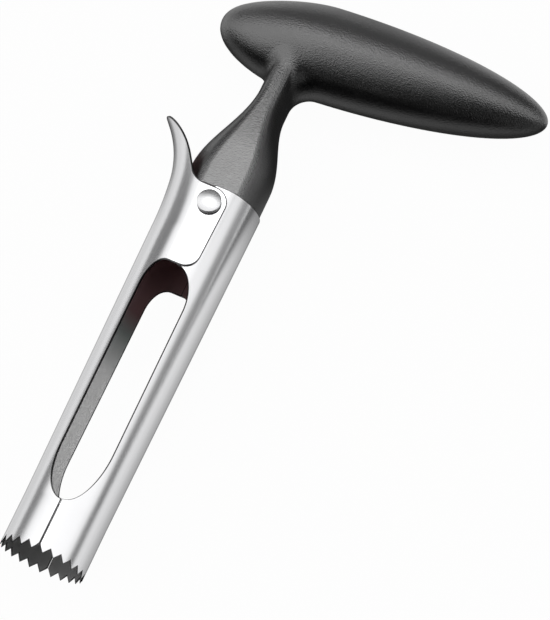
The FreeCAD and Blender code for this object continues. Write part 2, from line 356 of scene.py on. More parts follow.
overhead = combined(sky, "MULTIPLY", folded(sky, "MAXIMUM", lights, (-300, 600)), across, (100, 600))
sources = [overhead]
for row, (region_strength, steps) in enumerate(dim_regions.values(), 1):
    factors = [region_strength]
    for column, (measure, start, full) in enumerate(steps):
        place = (-1200 + 200 * column, -300 * row)
        factors.append(remapped(sky, measures[measure], start, full, place))
    sources.append(folded(sky, "MULTIPLY", factors, (-500, -300 * row)))
studio = add_node(sky, "ShaderNodeBackground", (1100, 0))
feed(sky, studio.inputs["Strength"], folded(sky, "MAXIMUM", sources, (250, 0)))
white = add_node(sky, "ShaderNodeBackground", (1100, -200))
seen = add_node(sky, "ShaderNodeLightPath", (1100, 400))
room = either_shader(sky, seen.outputs["Is Camera Ray"], studio.outputs[0], white.outputs[0], (1300, 0))
out = add_node(sky, "ShaderNodeOutputWorld", (1500, 0))
feed(sky, out.inputs["Surface"], room)
print("world has", len(sky.nodes), "nodes")

# %% [markdown]
# ## The table
# The tool rests on a plain pale table. To the camera it is nearly all white light of its own, so the
# picture's background stays white and the tool still leaves a faint shadow. Reflections see it with painted
# shade by place, as the bands in the photographed steel show it: pale far from the barrel, darker beside it
# and dark under the bar, where the tool's shade falls. Every other ray meets an ordinary matte surface. The
# table is stage, and no part of the tool.

# %% Lay the table
table_half = 1.5
table_white = 0.86
table_glow = 0.97
# Painted shade across the barrel, seen in reflections, from its own line: (metres to the right, tone).
barrel_line = -0.026
tone_reach = 0.10
table_shade_tones = [
    (-0.095, 0.92), (-0.060, 0.78), (-0.012, 0.75), (0.012, 0.38), (0.040, 0.78), (0.075, 0.92),
]
# Along the barrel the table's painted shade darkens it under the bar; it is unshaded behind it and on the
# lever's side.
bar_shade = 0.08
bar_shade_ends = (0.012, 0.048)
behind_ends = (0.080, 0.096)
lever_side_ends = (-0.070, -0.056)


def stage_quad(name, corners, material):
    """One face with four corners that belongs to the stage and not to the tool."""
    mesh = bpy.data.meshes.new(name)
    mesh.from_pydata(corners, [], [(0, 1, 2, 3)])
    mesh.materials.append(material)
    quad = bpy.data.objects.new(name, mesh)
    bpy.context.scene.collection.objects.link(quad)
    return quad


def table_finish():
    """White light to the camera, painted shade by place to reflections, and a matte surface to all other
    rays.
    """
    material, tree, surface = new_material("table_white", (table_white,) * 3, 0.9, 0.0)
    surface.inputs["Specular IOR Level"].default_value = 0.1
    place = add_node(tree, "ShaderNodeTexCoord", (-1000, 0))
    axes = axes_of(tree, place.outputs["Object"], (-800, 0))
    left, right = barrel_line - tone_reach, barrel_line + tone_reach
    beside = remapped(tree, axes["X"], left, right, (-600, 0), smooth=False)
    stops = [((offset + tone_reach) / (2 * tone_reach), (tone,) * 3) for offset, tone in table_shade_tones]
    tones = colour_ramp(tree, beside, stops, (-400, 0))
    shade = remapped(tree, axes["Y"], *bar_shade_ends, (-600, -300), 1.0, bar_shade)
    behind = remapped(tree, axes["Y"], *behind_ends, (-600, 300))
    lever_side = remapped(tree, axes["X"], *lever_side_ends, (-600, -600), 1.0, 0.0)
    unshaded = folded(tree, "MAXIMUM", [shade, behind, lever_side], (-450, -300))
    toned = scaled(tree, tones, unshaded, (-300, -200))
    path = add_node(tree, "ShaderNodeLightPath", (-400, 400))
    seen, mirrored = path.outputs["Is Camera Ray"], path.outputs["Is Glossy Ray"]
    glow = add_node(tree, "ShaderNodeEmission", (50, -100))
    feed(tree, glow.inputs["Color"], blended(tree, "RGBA", seen, toned, (1.0, 1.0, 1.0, 1.0), (-150, 0)))
    share = combined(tree, "MAXIMUM", seen, mirrored, (-200, 400))
    share = combined(tree, "MULTIPLY", share, table_glow, (0, 400))
    shown = either_shader(tree, share, surface.outputs[0], glow.outputs[0], (300, 0))
    feed(tree, tree.nodes["Material Output"].inputs["Surface"], shown)
    return material


floor_height = solid_box[0][2]
table_corners = np.array([[-1, -1, 0], [1, -1, 0], [1, 1, 0], [-1, 1, 0]]) * table_half
table_corners[:, 2] = floor_height
table = stage_quad("table", table_corners.tolist(), table_finish())
print("table at height", round(floor_height * 1000, 3), "mm")

# %% [markdown]
# ## The dark card, a sheet of painted shade
# Along the lower front of the photographed bar the black plastic has a darker band near the table. A low
# card in front of the bar makes it: a dark sheet of painted shade that the bar mirrors, with a dim painted
# glow at its foot. Only reflections meet the card, and only from the bar's side; every other ray passes
# through. It is stage too.

# %% Stand the card in front of the bar
card_place = 0.058
card_ends = (-0.085, 0.095)
card_top = 0.0222
card_fade = (0.011, 0.016)
card_foot_tone = 0.32


def card_finish():
    """Painted shade for reflections: a dim painted glow at the card's foot that falls to black at the fade's
    end.
    """
    material, tree, surface = new_material("card_painted_shade", (0.02, 0.02, 0.02), 0.9, 0.0)
    place = add_node(tree, "ShaderNodeTexCoord", (-800, 0))
    axes = axes_of(tree, place.outputs["Object"], (-600, 0))
    # Painted light and shade: a dim glow at the card's foot, fading to black above it.
    tone = add_node(tree, "ShaderNodeEmission", (-200, 0))
    fade = remapped(tree, axes["Z"], *card_fade, (-400, 0), card_foot_tone, 0.0)
    feed(tree, tone.inputs["Strength"], fade)
    path = add_node(tree, "ShaderNodeLightPath", (-600, 400))
    side = add_node(tree, "ShaderNodeNewGeometry", (-600, 700))
    front = combined(tree, "SUBTRACT", 1.0, side.outputs["Backfacing"], (-400, 700))
    met = combined(tree, "MULTIPLY", path.outputs["Is Glossy Ray"], front, (-200, 500))
    clear = add_node(tree, "ShaderNodeBsdfTransparent", (-200, 200))
    shown = either_shader(tree, met, clear.outputs[0], tone.outputs[0], (0, 200))
    feed(tree, tree.nodes["Material Output"].inputs["Surface"], shown)
    return material


left, right = card_ends
card_corners = [
    (left, card_place, 0.0), (left, card_place, card_top),
    (right, card_place, card_top), (right, card_place, 0.0),
]
card = stage_quad("painted_shade_card", card_corners, card_finish())
print("card faces along", [round(value, 2) for value in card.data.polygons[0].normal])

# %% [markdown]
# ## From grids to meshes
# Every new piece is a grid of points worked out as whole arrays. One helper turns points and faces into a
# mesh, lays it down, and makes sure that its faces look outwards: a closed shape whose signed volume comes
# out negative is inside out, so its faces are turned round. The grid's own flat coordinates, where it has
# them, become UVs, and other values that its finish reads become named attributes.

# %% Helpers that build closed meshes


def signed_volume(points, faces):
    """Six times the volume is the sum over triangles of a . (b x c); quads are split into two triangles."""
    first, second, third, fourth = (points[faces[:, corner]] for corner in range(4))
    lower = np.einsum("ij,ij->i", first, np.cross(second, third))
    upper = np.einsum("ij,ij->i", first, np.cross(third, fourth))
    return (lower.sum() + upper.sum()) / 6


def grid_faces(rows, columns, closed_round):
    """Quads between neighbouring rows and columns of a grid whose points are numbered row by row."""
    last = columns if closed_round else columns - 1
    row, column = np.meshgrid(np.arange(rows - 1), np.arange(last), indexing="ij")
    beside = (column + 1) % columns
    quads = [row * columns + column, row * columns + beside, (row + 1) * columns + beside]
    quads.append((row + 1) * columns + column)
    return np.stack(quads, axis=-1).reshape(-1, 4)


def new_piece(name, upright, faces, body, material, flat_map=None, marks=None):
    """A closed mesh from upright points and quads; a quad that names a corner twice becomes a triangle."""
    points = laid_down(upright)
    if signed_volume(points, faces) < 0:
        faces = faces[:, ::-1]
    corner_lists = [list(dict.fromkeys(face)) for face in faces.tolist()]
    mesh = bpy.data.meshes.new(name)
    mesh.from_pydata(points.tolist(), [], corner_lists)
    if flat_map is not None:
        layer = mesh.uv_layers.new(name="sheet")
        corners = np.empty(len(mesh.loops), np.int32)
        mesh.loops.foreach_get("vertex_index", corners)
        layer.uv.foreach_set("vector", flat_map[corners].astype(np.float32).ravel())
    for label, values in (marks or {}).items():
        layer = mesh.attributes.new(label, "FLOAT", "POINT")
        layer.data.foreach_set("value", values.astype(np.float32))
    mesh.polygons.foreach_set("use_smooth", np.ones(len(mesh.polygons), bool))
    mesh.materials.append(material)
    mesh.validate()
    mesh.update()
    piece = bpy.data.objects.new(name, mesh)
    bpy.context.scene.collection.objects.link(piece)
    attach(piece, body)
    print(name, "points", len(mesh.vertices), "faces", len(mesh.polygons))
    return piece


# %% [markdown]
# ## The black skin's finish
# The handle is a soft-touch moulding with a fine pebbled texture and a broad dim gloss, rubbed smoother on
# the neck's flats. The pebbles are a third of a millimetre across, so they are a bump: cells from a Voronoi
# texture, broken up by noise, both read in object coordinates so that they keep their size. The same group
# serves the bare moulding inside, with less bump.

# %% A pebbled-moulding group and the two plastics
pebble_group, pebble_in, pebble_out = new_group(
    "pebbled_moulding",
    [
        ("Pebble Size", "NodeSocketFloat", 0.6), ("Depth", "NodeSocketFloat", 0.5),
        ("Base", "NodeSocketColor", None), ("Roughness", "NodeSocketFloat", 0.5),
    ],
    [("Color", "NodeSocketColor"), ("Roughness", "NodeSocketFloat"), ("Normal", "NodeSocketVector")],
)
grit_scale = 2600.0
grit_share = 0.5
slow_scale = 60.0
slow_spread = (0.85, 1.2)
pebble_rise = 0.0002


def wire_pebbles(tree, entry, leave):
    """Cells and noise in object space give the height; slow noise varies the colour and the roughness."""
    place = add_node(tree, "ShaderNodeTexCoord", (-1300, -200))
    cells = add_node(tree, "ShaderNodeTexVoronoi", (-700, 300), feature="SMOOTH_F1", in_Smoothness=0.6)
    grit = add_node(
        tree, "ShaderNodeTexNoise", (-700, 0), in_Scale=grit_scale, in_Detail=3.0, in_Roughness=0.6,
    )
    slow = add_node(tree, "ShaderNodeTexNoise", (-700, -300), in_Scale=slow_scale, in_Detail=4.0)
    for texture in (cells, grit, slow):
        feed(tree, texture.inputs["Vector"], place.outputs["Object"])
    cells_per_metre = combined(tree, "DIVIDE", 1 / MM, entry.outputs["Pebble Size"], (-900, 300))
    feed(tree, cells.inputs["Scale"], cells_per_metre)
    height = combined(tree, "MULTIPLY", grit.outputs["Fac"], grit_share, (-550, 200))
    height = combined(tree, "ADD", height, cells.outputs["Distance"], (-400, 200))
    bump = add_node(tree, "ShaderNodeBump", (-200, 200), in_Distance=pebble_rise)
    feed(tree, bump.inputs["Height"], height)
    feed(tree, bump.inputs["Strength"], entry.outputs["Depth"])
    feed(tree, leave.inputs["Normal"], bump.outputs["Normal"])
    tone = remapped(tree, slow.outputs["Fac"], 0.0, 1.0, (-450, -300), *slow_spread, smooth=False)
    feed(tree, leave.inputs["Color"], scaled(tree, entry.outputs["Base"], tone, (-200, -200)))
    rough = combined(tree, "MULTIPLY", entry.outputs["Roughness"], tone, (-200, -400))
    feed(tree, leave.inputs["Roughness"], rough)


wire_pebbles(pebble_group, pebble_in, pebble_out)


def plastic(name, colour, roughness, pebble_size, depth, specular, ior, worn_finish=None):
    """A moulded plastic with this colour, gloss and pebble, and the (roughness, depth) it has where worn."""
    material, tree, surface = new_material(name, colour, roughness, 0.0)
    surface.inputs["Specular IOR Level"].default_value = specular
    surface.inputs["IOR"].default_value = ior
    texture = place_group(
        tree, pebble_group, (-300, 0), Pebble_Size=pebble_size, Depth=depth, Roughness=roughness,
    )
    texture.inputs["Base"].default_value = (*colour, 1.0)
    for result, socket in (("Color", "Base Color"), ("Roughness", "Roughness"), ("Normal", "Normal")):
        feed(tree, surface.inputs[socket], texture.outputs[result])
    if worn_finish is not None:
        worn = add_node(tree, "ShaderNodeAttribute", (-800, 0), attribute_name="worn").outputs["Fac"]
        finishes = zip(("Roughness", "Depth"), (roughness, depth), worn_finish)
        for row, (label, new, old) in enumerate(finishes):
            blend = remapped(tree, worn, 0.0, 1.0, (-550, -200 * row), new, old, smooth=False)
            feed(tree, texture.inputs[label], blend)
    return material


grip_black = plastic(
    "grip_black", colour=(0.0018, 0.0018, 0.002), roughness=0.30, pebble_size=0.36, depth=0.42,
    specular=1.0, ior=1.8, worn_finish=(0.20, 0.12),
)
core_black = plastic(
    "core_black", colour=(0.050, 0.022, 0.026), roughness=0.50, pebble_size=0.30, depth=0.10,
    specular=0.5, ior=1.5,
)
print("plastics:", grip_black.name, core_black.name)

# %% [markdown]
# ## The steel's finish
# The shells are satin stainless sheet, polished lengthwise. Fine lines along the sheet make the roughness
# and the normal flicker across it, and a slow noise clouds the gloss. The lines follow the sheet's own flat
# coordinates, so that they run up the curled lever as they do on real pressed sheet. The rivet is turned, so
# its lines are rings. Layer Weight darkens the colour of the last sliver of surface that turns away from the
# eye. This is painted shade: a thin dark outline against the white table, standing in for the shaded table
# that the steel mirrors at its edge.

# %% A satin-line group
satin_group, satin_in, satin_out = new_group(
    "satin_lines",
    [
        ("Vector", "NodeSocketVector", None), ("Roughness", "NodeSocketFloat", 0.2),
        ("Depth", "NodeSocketFloat", 0.1), ("Base", "NodeSocketColor", None),
    ],
    [("Color", "NodeSocketColor"), ("Roughness", "NodeSocketFloat"), ("Normal", "NodeSocketVector")],
)
# Each noise: its scale across and along the sheet, per millimetre, and its detail.
line_noises = {
    "fine": ((16.0, 0.12, 1.0), 2.0), "broad": ((2.2, 0.03, 1.0), 3.0), "clouds": ((0.10, 0.05, 1.0), 3.0),
}
line_rise = 0.00001
gloss_spread = (0.75, 1.3)
tone_spread = (0.97, 1.03)


def wire_satin(tree, entry, leave):
    """Noise stretched along the second coordinate gives lines; a slow noise gives clouds."""
    noises = {}
    for row, (label, (scale, detail)) in enumerate(line_noises.items()):
        down = 300 - 300 * row
        stretch = add_node(tree, "ShaderNodeMapping", (-700, down), in_Scale=scale)
        noise = add_node(tree, "ShaderNodeTexNoise", (-500, down), in_Scale=1.0, in_Detail=detail)
        feed(tree, stretch.inputs["Vector"], entry.outputs["Vector"])
        feed(tree, noise.inputs["Vector"], stretch.outputs[0])
        noises[label] = noise.outputs["Fac"]
    bump = add_node(tree, "ShaderNodeBump", (-100, 300), in_Distance=line_rise)
    feed(tree, bump.inputs["Height"], noises["fine"])
    feed(tree, bump.inputs["Strength"], entry.outputs["Depth"])
    feed(tree, leave.inputs["Normal"], bump.outputs["Normal"])
    gloss = blended(tree, "FLOAT", 0.5, noises["broad"], noises["clouds"], (-250, 0))
    gloss = remapped(tree, gloss, 0.0, 1.0, (-50, 0), *gloss_spread, smooth=False)
    rough = combined(tree, "MULTIPLY", entry.outputs["Roughness"], gloss, (150, 0))
    feed(tree, leave.inputs["Roughness"], rough)
    tone = remapped(tree, noises["broad"], 0.0, 1.0, (-50, -250), *tone_spread, smooth=False)
    feed(tree, leave.inputs["Color"], scaled(tree, entry.outputs["Base"], tone, (150, -250)))


wire_satin(satin_group, satin_in, satin_out)
print("noises of the satin:", ", ".join(line_noises))

# %% Zones of a pressed sheet: polished outside, duller inside with painted reflections, painted shade on cut edges
# Painted reflections and shade on the inner face, by height, as a share of the inside's top.
inside_top = 110.0
inside_painted_reflections = [
    (0.00, (0.20, 0.20, 0.20)), (0.07, (0.22, 0.22, 0.22)), (0.13, (1.00, 1.00, 1.00)),
    (0.52, (1.00, 1.00, 1.00)), (0.64, (0.24, 0.27, 0.26)), (0.70, (0.200, 0.110, 0.115)),
    (1.00, (0.520, 0.320, 0.330)),
]
inside_fade = (0.60, 0.95)
inside_dulling = 0.20
# Painted shade along the cut edges: full within half the width in mm, gone at the width, scaled by the edge
# share.
edge_shade_width = 0.40
painted_edge_shade_tone = 0.06
zone_group, zone_in, zone_out = new_group(
    "sheet_zones",
    [
        ("Up", "NodeSocketFloat", 0.0), ("Inside", "NodeSocketFloat", 0.0),
        ("From Edge", "NodeSocketFloat", 1.0), ("Base", "NodeSocketColor", None),
        ("Roughness", "NodeSocketFloat", 0.2),
    ],
    [("Color", "NodeSocketColor"), ("Roughness", "NodeSocketFloat"), ("Metallic", "NodeSocketFloat")],
)


def wire_zones(tree, entry, leave):
    """The marks choose between the sheet's outer tone, its painted inner reflections by height and its
    painted edge shade.
    """
    height = remapped(tree, entry.outputs["Up"], 0.0, inside_top, (-600, 300), smooth=False)
    tones = colour_ramp(tree, height, inside_painted_reflections, (-400, 300))
    within = remapped(tree, entry.outputs["Inside"], *inside_fade, (-400, 0))
    face_tone = blended(tree, "RGBA", within, entry.outputs["Base"], tones, (-100, 200))
    # Painted shade: near the cut edges the colour falls to the edge tone.
    edge = remapped(tree, entry.outputs["From Edge"], edge_shade_width / 2, edge_shade_width, (-400, -300), painted_edge_shade_tone, 1.0)
    feed(tree, leave.inputs["Color"], scaled(tree, face_tone, edge, (150, 200)))
    # The inner face is not metal, so that its painted reflections and shade show as its own colour.
    feed(tree, leave.inputs["Metallic"], combined(tree, "SUBTRACT", 1.0, within, (150, -300)))
    dulling = combined(tree, "MULTIPLY", within, inside_dulling, (0, -100))
    rough = combined(tree, "ADD", entry.outputs["Roughness"], dulling, (150, -100))
    feed(tree, leave.inputs["Roughness"], rough)


wire_zones(zone_group, zone_in, zone_out)
print("sheet zones ready, with", len(inside_painted_reflections), "inner tones")

# %% The two steels
# Painted shade: towards grazing view the steel's colour falls to the outline tone, a painted dark outline.
shade_outline_start = 0.76
shade_outline_full = 0.90
painted_outline_shade_tone = 0.30
# Painted shadow: a dark ring on each rivet head, between these distances walked along its profile in mm.
rivet_shadow_ring = (3.45, 3.60)
rivet_painted_shadow_tone = 0.04


def zoned(tree, surface, up, lines, colour, roughness):
    """Puts the sheet's zones in front of its satin lines, read from the marks that the sheet carries."""
    zones = place_group(tree, zone_group, (-550, -200), Roughness=roughness)
    zones.inputs["Base"].default_value = (*colour, 1.0)
    feed(tree, zones.inputs["Up"], up)
    for row, (mark, socket) in enumerate((("inside", "Inside"), ("from_edge", "From Edge"))):
        read = add_node(tree, "ShaderNodeAttribute", (-800, -400 - 200 * row), attribute_name=mark)
        feed(tree, zones.inputs[socket], read.outputs["Fac"])
    feed(tree, lines.inputs["Base"], zones.outputs["Color"])
    feed(tree, lines.inputs["Roughness"], zones.outputs["Roughness"])
    feed(tree, surface.inputs["Metallic"], zones.outputs["Metallic"])


def steel(name, colour, roughness, depth, sheet):
    """A stainless finish whose satin lines follow the piece's own flat map, in millimetres.

    A sheet has its zones; a turned piece has one dark ring of painted shadow, where its head meets the ear.
    """
    material, tree, surface = new_material(name, colour, roughness, 1.0)
    flat = add_node(tree, "ShaderNodeUVMap", (-1000, 0), uv_map="sheet")
    axes = axes_of(tree, flat.outputs["UV"], (-800, -200))
    lines = place_group(tree, satin_group, (-300, 0), Roughness=roughness, Depth=depth)
    feed(tree, lines.inputs["Vector"], flat.outputs["UV"])
    if sheet:
        zoned(tree, surface, axes["Y"], lines, colour, roughness)
    else:
        # Painted shadow: a dark ring on the head's side, where it meets the ear.
        joint = remapped(tree, axes["X"], *rivet_shadow_ring, (-650, -200), 1.0, rivet_painted_shadow_tone, smooth=False)
        feed(tree, lines.inputs["Base"], scaled(tree, colour, joint, (-500, -200)))
    # Painted shade: the colour darkens towards grazing view, standing in for the shaded table mirrored at the
    # edge.
    grazing = add_node(tree, "ShaderNodeLayerWeight", (-300, 400), in_Blend=0.5).outputs["Facing"]
    outline = remapped(tree, grazing, shade_outline_start, shade_outline_full, (-100, 400), 1.0, painted_outline_shade_tone)
    feed(tree, surface.inputs["Base Color"], scaled(tree, lines.outputs["Color"], outline, (100, 300)))
    for label in ("Roughness", "Normal"):
        feed(tree, surface.inputs[label], lines.outputs[label])
    return material


shell_satin = steel("shell_satin", colour=(0.80, 0.80, 0.81), roughness=0.21, depth=0.10, sheet=True)
rivet_satin = steel("rivet_satin", colour=(0.70, 0.70, 0.71), roughness=0.24, depth=0.25, sheet=False)
print("steels:", shell_satin.name, rivet_satin.name)

# %% [markdown]
# ## A pressed sheet
# Both halves of the barrel are sheet steel: a flat blank is cut to its outline, then pressed into a half
# round. The model does the same. The blank has two coordinates, `side`, the distance across the sheet from
# its spine, and `up`, the height along it. The outline is cut in that flat picture and the press is a formula
# from blank to space. So the windows and the ear cost nothing: they are only the blank's edge.

# %% Sizes that both halves share
gauge = 0.5
mouth_radius = 12.0
tooth_depth = 1.9
tooth_edge = 0.2
teeth_per_half = 12
window_start = 15.3
window_end = 87.6
seam = 0.09
columns_per_tooth = 8
blank_columns = teeth_per_half * columns_per_tooth + 1
ring_level = 5.0
ring_rows = 6
cheek_step_run = 2.0
blend_start = 30.0
blend_end = 80.0
blend_full = 0.6


def grown(up, start, end, first, last):
    """A size that grows evenly from the first to the last between two heights, and holds outside them."""
    return first + (last - first) * np.clip((up - start) / (end - start), 0, 1)


def ellipse_arc(centre, wide, high, first, last, count=200):
    """Points of an ellipse in the (x, z) plane; angles in degrees are counted from +x towards +z."""
    turns = np.radians(np.linspace(first, last, count))
    return np.stack([centre[0] + wide * np.cos(turns), centre[1] + high * np.sin(turns)], axis=-1)


def straight(start, end, count=50):
    """Points of a straight line in the (x, z) plane."""
    share = np.linspace(0, 1, count)[:, None]
    return np.asarray(start) * (1 - share) + np.asarray(end) * share


def evenly(points, count):
    """The same line with its points spaced evenly along it."""
    steps = np.hypot(*np.diff(points, axis=0).T)
    walked = np.concatenate([[0], np.cumsum(steps)])
    wanted = np.linspace(0, walked[-1], count)
    return np.stack([np.interp(wanted, walked, points[:, axis]) for axis in range(2)], axis=-1)


def wall(up):
    """The sheet's thickness: full gauge, thinned from the inside to a sharp edge in the teeth."""
    return grown(up, 0.0, tooth_depth, tooth_edge, gauge)


def cheek_blend(up):
    """How softly the round runs into the flat cheek: not at all near the mouth, most near the rim."""
    return grown(up, blend_start, blend_end, 0.0, blend_full)


print("blank has", blank_columns, "columns, so each tooth has", columns_per_tooth)

# %% The blank: rows that run from one cut edge over the spine to the other


def cut_blank(stretches, unroll):
    """The blank's grid of (side, up). Each stretch is (outline points, rows, spine height at its end).

    A row is a curve up = spine + (edge - spine) * share ** 2, with share from -1 to 1 across the sheet.
    The first rows are the teeth: a zigzag with a root on each seam, that flattens out at the ring's level.
    """
    share = np.linspace(-1, 1, blank_columns)
    edges = []
    spines = []
    spine = ring_level
    for outline, rows, spine_end in stretches:
        edge = evenly(np.stack(unroll(*outline.T), axis=-1), rows + 1)[1:]
        edges.append(edge)
        spines.append(np.linspace(spine, spine_end, rows + 1)[1:])
        spine = spine_end
    edge = np.concatenate(edges)
    spines = np.concatenate(spines)
    first_edge = np.stack(unroll(stretches[0][0][:1, 0], np.array([ring_level])), axis=-1)[0]
    zigzag = tooth_depth * np.abs((share * teeth_per_half / 2) % 1 - 0.5) * 2
    rising = np.linspace(0, 1, ring_rows)[:, None]
    ring_up = zigzag * (1 - rising) + ring_level * rising
    ring_side = np.broadcast_to(first_edge[0] * share, ring_up.shape)
    side = edge[:, :1] * share
    up = spines[:, None] + (edge[:, 1:] - spines[:, None]) * share ** 2
    return np.concatenate([ring_side, side]), np.concatenate([ring_up, up])


def sheet_faces(rows, columns):
    """A closed sheet: the outer grid, the inner grid turned round, and four strips along the cut edges."""
    outer = grid_faces(rows, columns, False)
    number = np.arange(rows * columns).reshape(rows, columns)
    inside = number + rows * columns
    strips = [outer, (outer + rows * columns)[:, ::-1]]
    for line, inner_line in (
        (number[0, ::-1], inside[0, ::-1]), (number[-1], inside[-1]),
        (number[:, 0], inside[:, 0]), (number[::-1, -1], inside[::-1, -1]),
    ):
        strips.append(np.stack([line[:-1], line[1:], inner_line[1:], inner_line[:-1]], axis=-1))
    return np.concatenate(strips)


def soften(low, high, blend):
    """The smaller of two sizes, rounded off where they are within the blend of each other."""
    share = np.clip(0.5 + 0.5 * (high - low) / np.maximum(blend, 1e-6), 0, 1)
    return high * (1 - share) + low * share - blend * share * (1 - share)


def section(side, radius, flat, inset, blend):
    """Across the sheet: how deep a point lies from the spine, and how far to the side of the middle plane.

    An arc of the radius runs until it meets the flat cheek, and the sheet goes straight on from there.
    """
    limit = np.arcsin(np.minimum(flat / radius, 1.0))
    turn = np.minimum(np.abs(side) / radius, limit)
    beyond = np.maximum(np.abs(side) - limit * radius, 0)
    step = inset * np.cos(limit)
    settled = radius * (1 - np.cos(limit)) + beyond + step * np.clip(1 - beyond / cheek_step_run, 0, 1)
    depth = np.where(beyond > 0, settled, radius - (radius - inset) * np.cos(turn))
    short = np.clip(radius - depth, 0, None)
    round_y = np.sqrt(np.maximum((radius - inset) ** 2 - short ** 2, 0))
    return depth, np.sign(side) * soften(round_y, flat - inset, blend)


def unrolled_side(depth, radius, flat):
    """The distance across the sheet at which the outer section reaches a depth."""
    limit = np.arcsin(np.minimum(flat / radius, 1.0))
    corner = radius * (1 - np.cos(limit))
    on_arc = radius * np.arccos(np.clip(1 - np.minimum(depth, corner) / radius, -1, 1))
    return on_arc + np.maximum(depth - corner, 0)


print("press and blank ready")

# %% [markdown]
# ## Cutting the rivet's hole and rolling the edges
# Punched sheet has slightly rounded edges, and they are what catches the light. A Bevel modifier rolls them
# by less than a tenth of a millimetre, only where faces meet sharply. The rivet's hole goes through both
# sides of the finished sheet in one cut, so it is a boolean with a turned cutter, applied before the bevel.

# %% Helpers for the hole and the edges
edge_roll = 0.09
sharp_angle = math.radians(38)
hole_corners = 48
cutter_reach = 20.0


def drill(piece, radius):
    """A round hole through the piece along the rivet's axis, made with a cutter that is thrown away."""
    turns = np.linspace(0, 2 * np.pi, hole_corners, endpoint=False)
    x = rivet_offset + radius * np.cos(turns)
    z = rivet_height + radius * np.sin(turns)
    ring = np.stack([x, 0 * turns, z], axis=-1)
    reach = np.array([0, cutter_reach, 0])
    points = laid_down(np.concatenate([ring - reach, ring + reach]))
    sides = grid_faces(2, hole_corners, True).tolist()
    caps = [list(range(hole_corners))[::-1], list(range(hole_corners, 2 * hole_corners))]
    mesh = bpy.data.meshes.new("cutter")
    mesh.from_pydata(points.tolist(), [], sides + caps)
    cutter = bpy.data.objects.new("cutter", mesh)
    bpy.context.scene.collection.objects.link(cutter)
    cut = piece.modifiers.new("rivet_hole", "BOOLEAN")
    cut.operation = "DIFFERENCE"
    cut.object = cutter
    cut.solver = "EXACT"
    bpy.context.view_layer.update()
    ready = piece.evaluated_get(bpy.context.evaluated_depsgraph_get())
    drilled = bpy.data.meshes.new_from_object(ready)
    piece.modifiers.clear()
    old = piece.data
    piece.data = drilled
    bpy.data.meshes.remove(old)
    bpy.data.objects.remove(cutter)
    bpy.data.meshes.remove(mesh)
    print(piece.name, "drilled, faces", len(drilled.polygons))


def roll_edges(piece, width, steps=2):
    """Rounds the sharp edges only, and keeps the large faces' shading true."""
    bevel = piece.modifiers.new("rolled_edges", "BEVEL")
    bevel.width = width * MM
    bevel.segments = steps
    bevel.limit_method = "ANGLE"
    bevel.angle_limit = sharp_angle
    bevel.harden_normals = True
    bevel.use_clamp_overlap = True


# %% [markdown]
# ## The fixed half
# It is the plainer half: round at the mouth, a little wider at the rim, pressed flat where the lever's ears
# slide over it, with half of each window cut from its edges and a small lug that the rivet passes through.

# %% Press the fixed half
barrel_length = 112.9
rim_radius = 13.2
fixed_cheek = 12.13
fixed_reach = 7.0
fixed_start_rise = 17.0
fixed_end_rise = 11.5
lug_radius = 4.0


def fixed_radius(up):
    """Constant below the windows, then widening evenly to the rim."""
    return grown(up, window_start, barrel_length, mouth_radius, rim_radius)


def fixed_unroll(x, z):
    """From the side view to the blank: height is height, and depth is counted from the spine at +x."""
    radius = fixed_radius(z)
    return unrolled_side(radius - x, radius, fixed_cheek), z


def press_fixed(side, up, inset):
    """From the blank to space: depth is taken from the spine at +x, and height stays height."""
    radius = fixed_radius(up)
    depth, y = section(side, radius, fixed_cheek, inset, cheek_blend(up))
    return np.stack([radius - depth, y, up], axis=-1)


def fixed_outline():
    """The cut edge from the ring's level up: seam, window, seam, lug, rim."""
    low = window_start + fixed_start_rise
    high = window_end - fixed_end_rise
    first = math.degrees(math.asin(seam / fixed_reach))
    lug_rise = math.sqrt(lug_radius ** 2 - (rivet_offset - seam) ** 2)
    lug_turn = math.degrees(math.atan2(lug_rise, seam - rivet_offset))
    return [
        (straight((seam, ring_level), (seam, window_start)), 10, 8.5),
        (ellipse_arc((0, low), fixed_reach, fixed_start_rise, -90 + first, 0), 26, low),
        (straight((fixed_reach, low), (fixed_reach, high)), 26, high),
        (ellipse_arc((0, high), fixed_reach, fixed_end_rise, 0, 90 - first), 22, 92.0),
        (straight((seam, window_end), (seam, rivet_height - lug_rise)), 12, 101.0),
        (ellipse_arc(rivet_middle, lug_radius, lug_radius, -lug_turn, lug_turn - 360), 26, 110.5),
        (straight((seam, rivet_height + lug_rise), (seam, barrel_length)), 4, barrel_length),
    ]


def edge_distance(side, up):
    """How far each point of the blank lies from the nearest cut edge: its sides, its teeth or its top row.

    The edge is a chain of straight pieces; the nearest point of each is found by a perpendicular on it.
    """
    line = np.stack([np.abs(side[:, 0]), up[:, 0]], axis=-1)
    point = np.stack([np.abs(side), up], axis=-1)
    nearest = np.minimum(up - up[0], np.abs(up[-1] - up))
    for start, end in zip(line[:-1], line[1:]):
        along = end - start
        share = np.clip(((point - start) @ along) / max(float(along @ along), 1e-9), 0, 1)
        nearest = np.minimum(nearest, np.linalg.norm(point - start - share[..., None] * along, axis=-1))
    return nearest


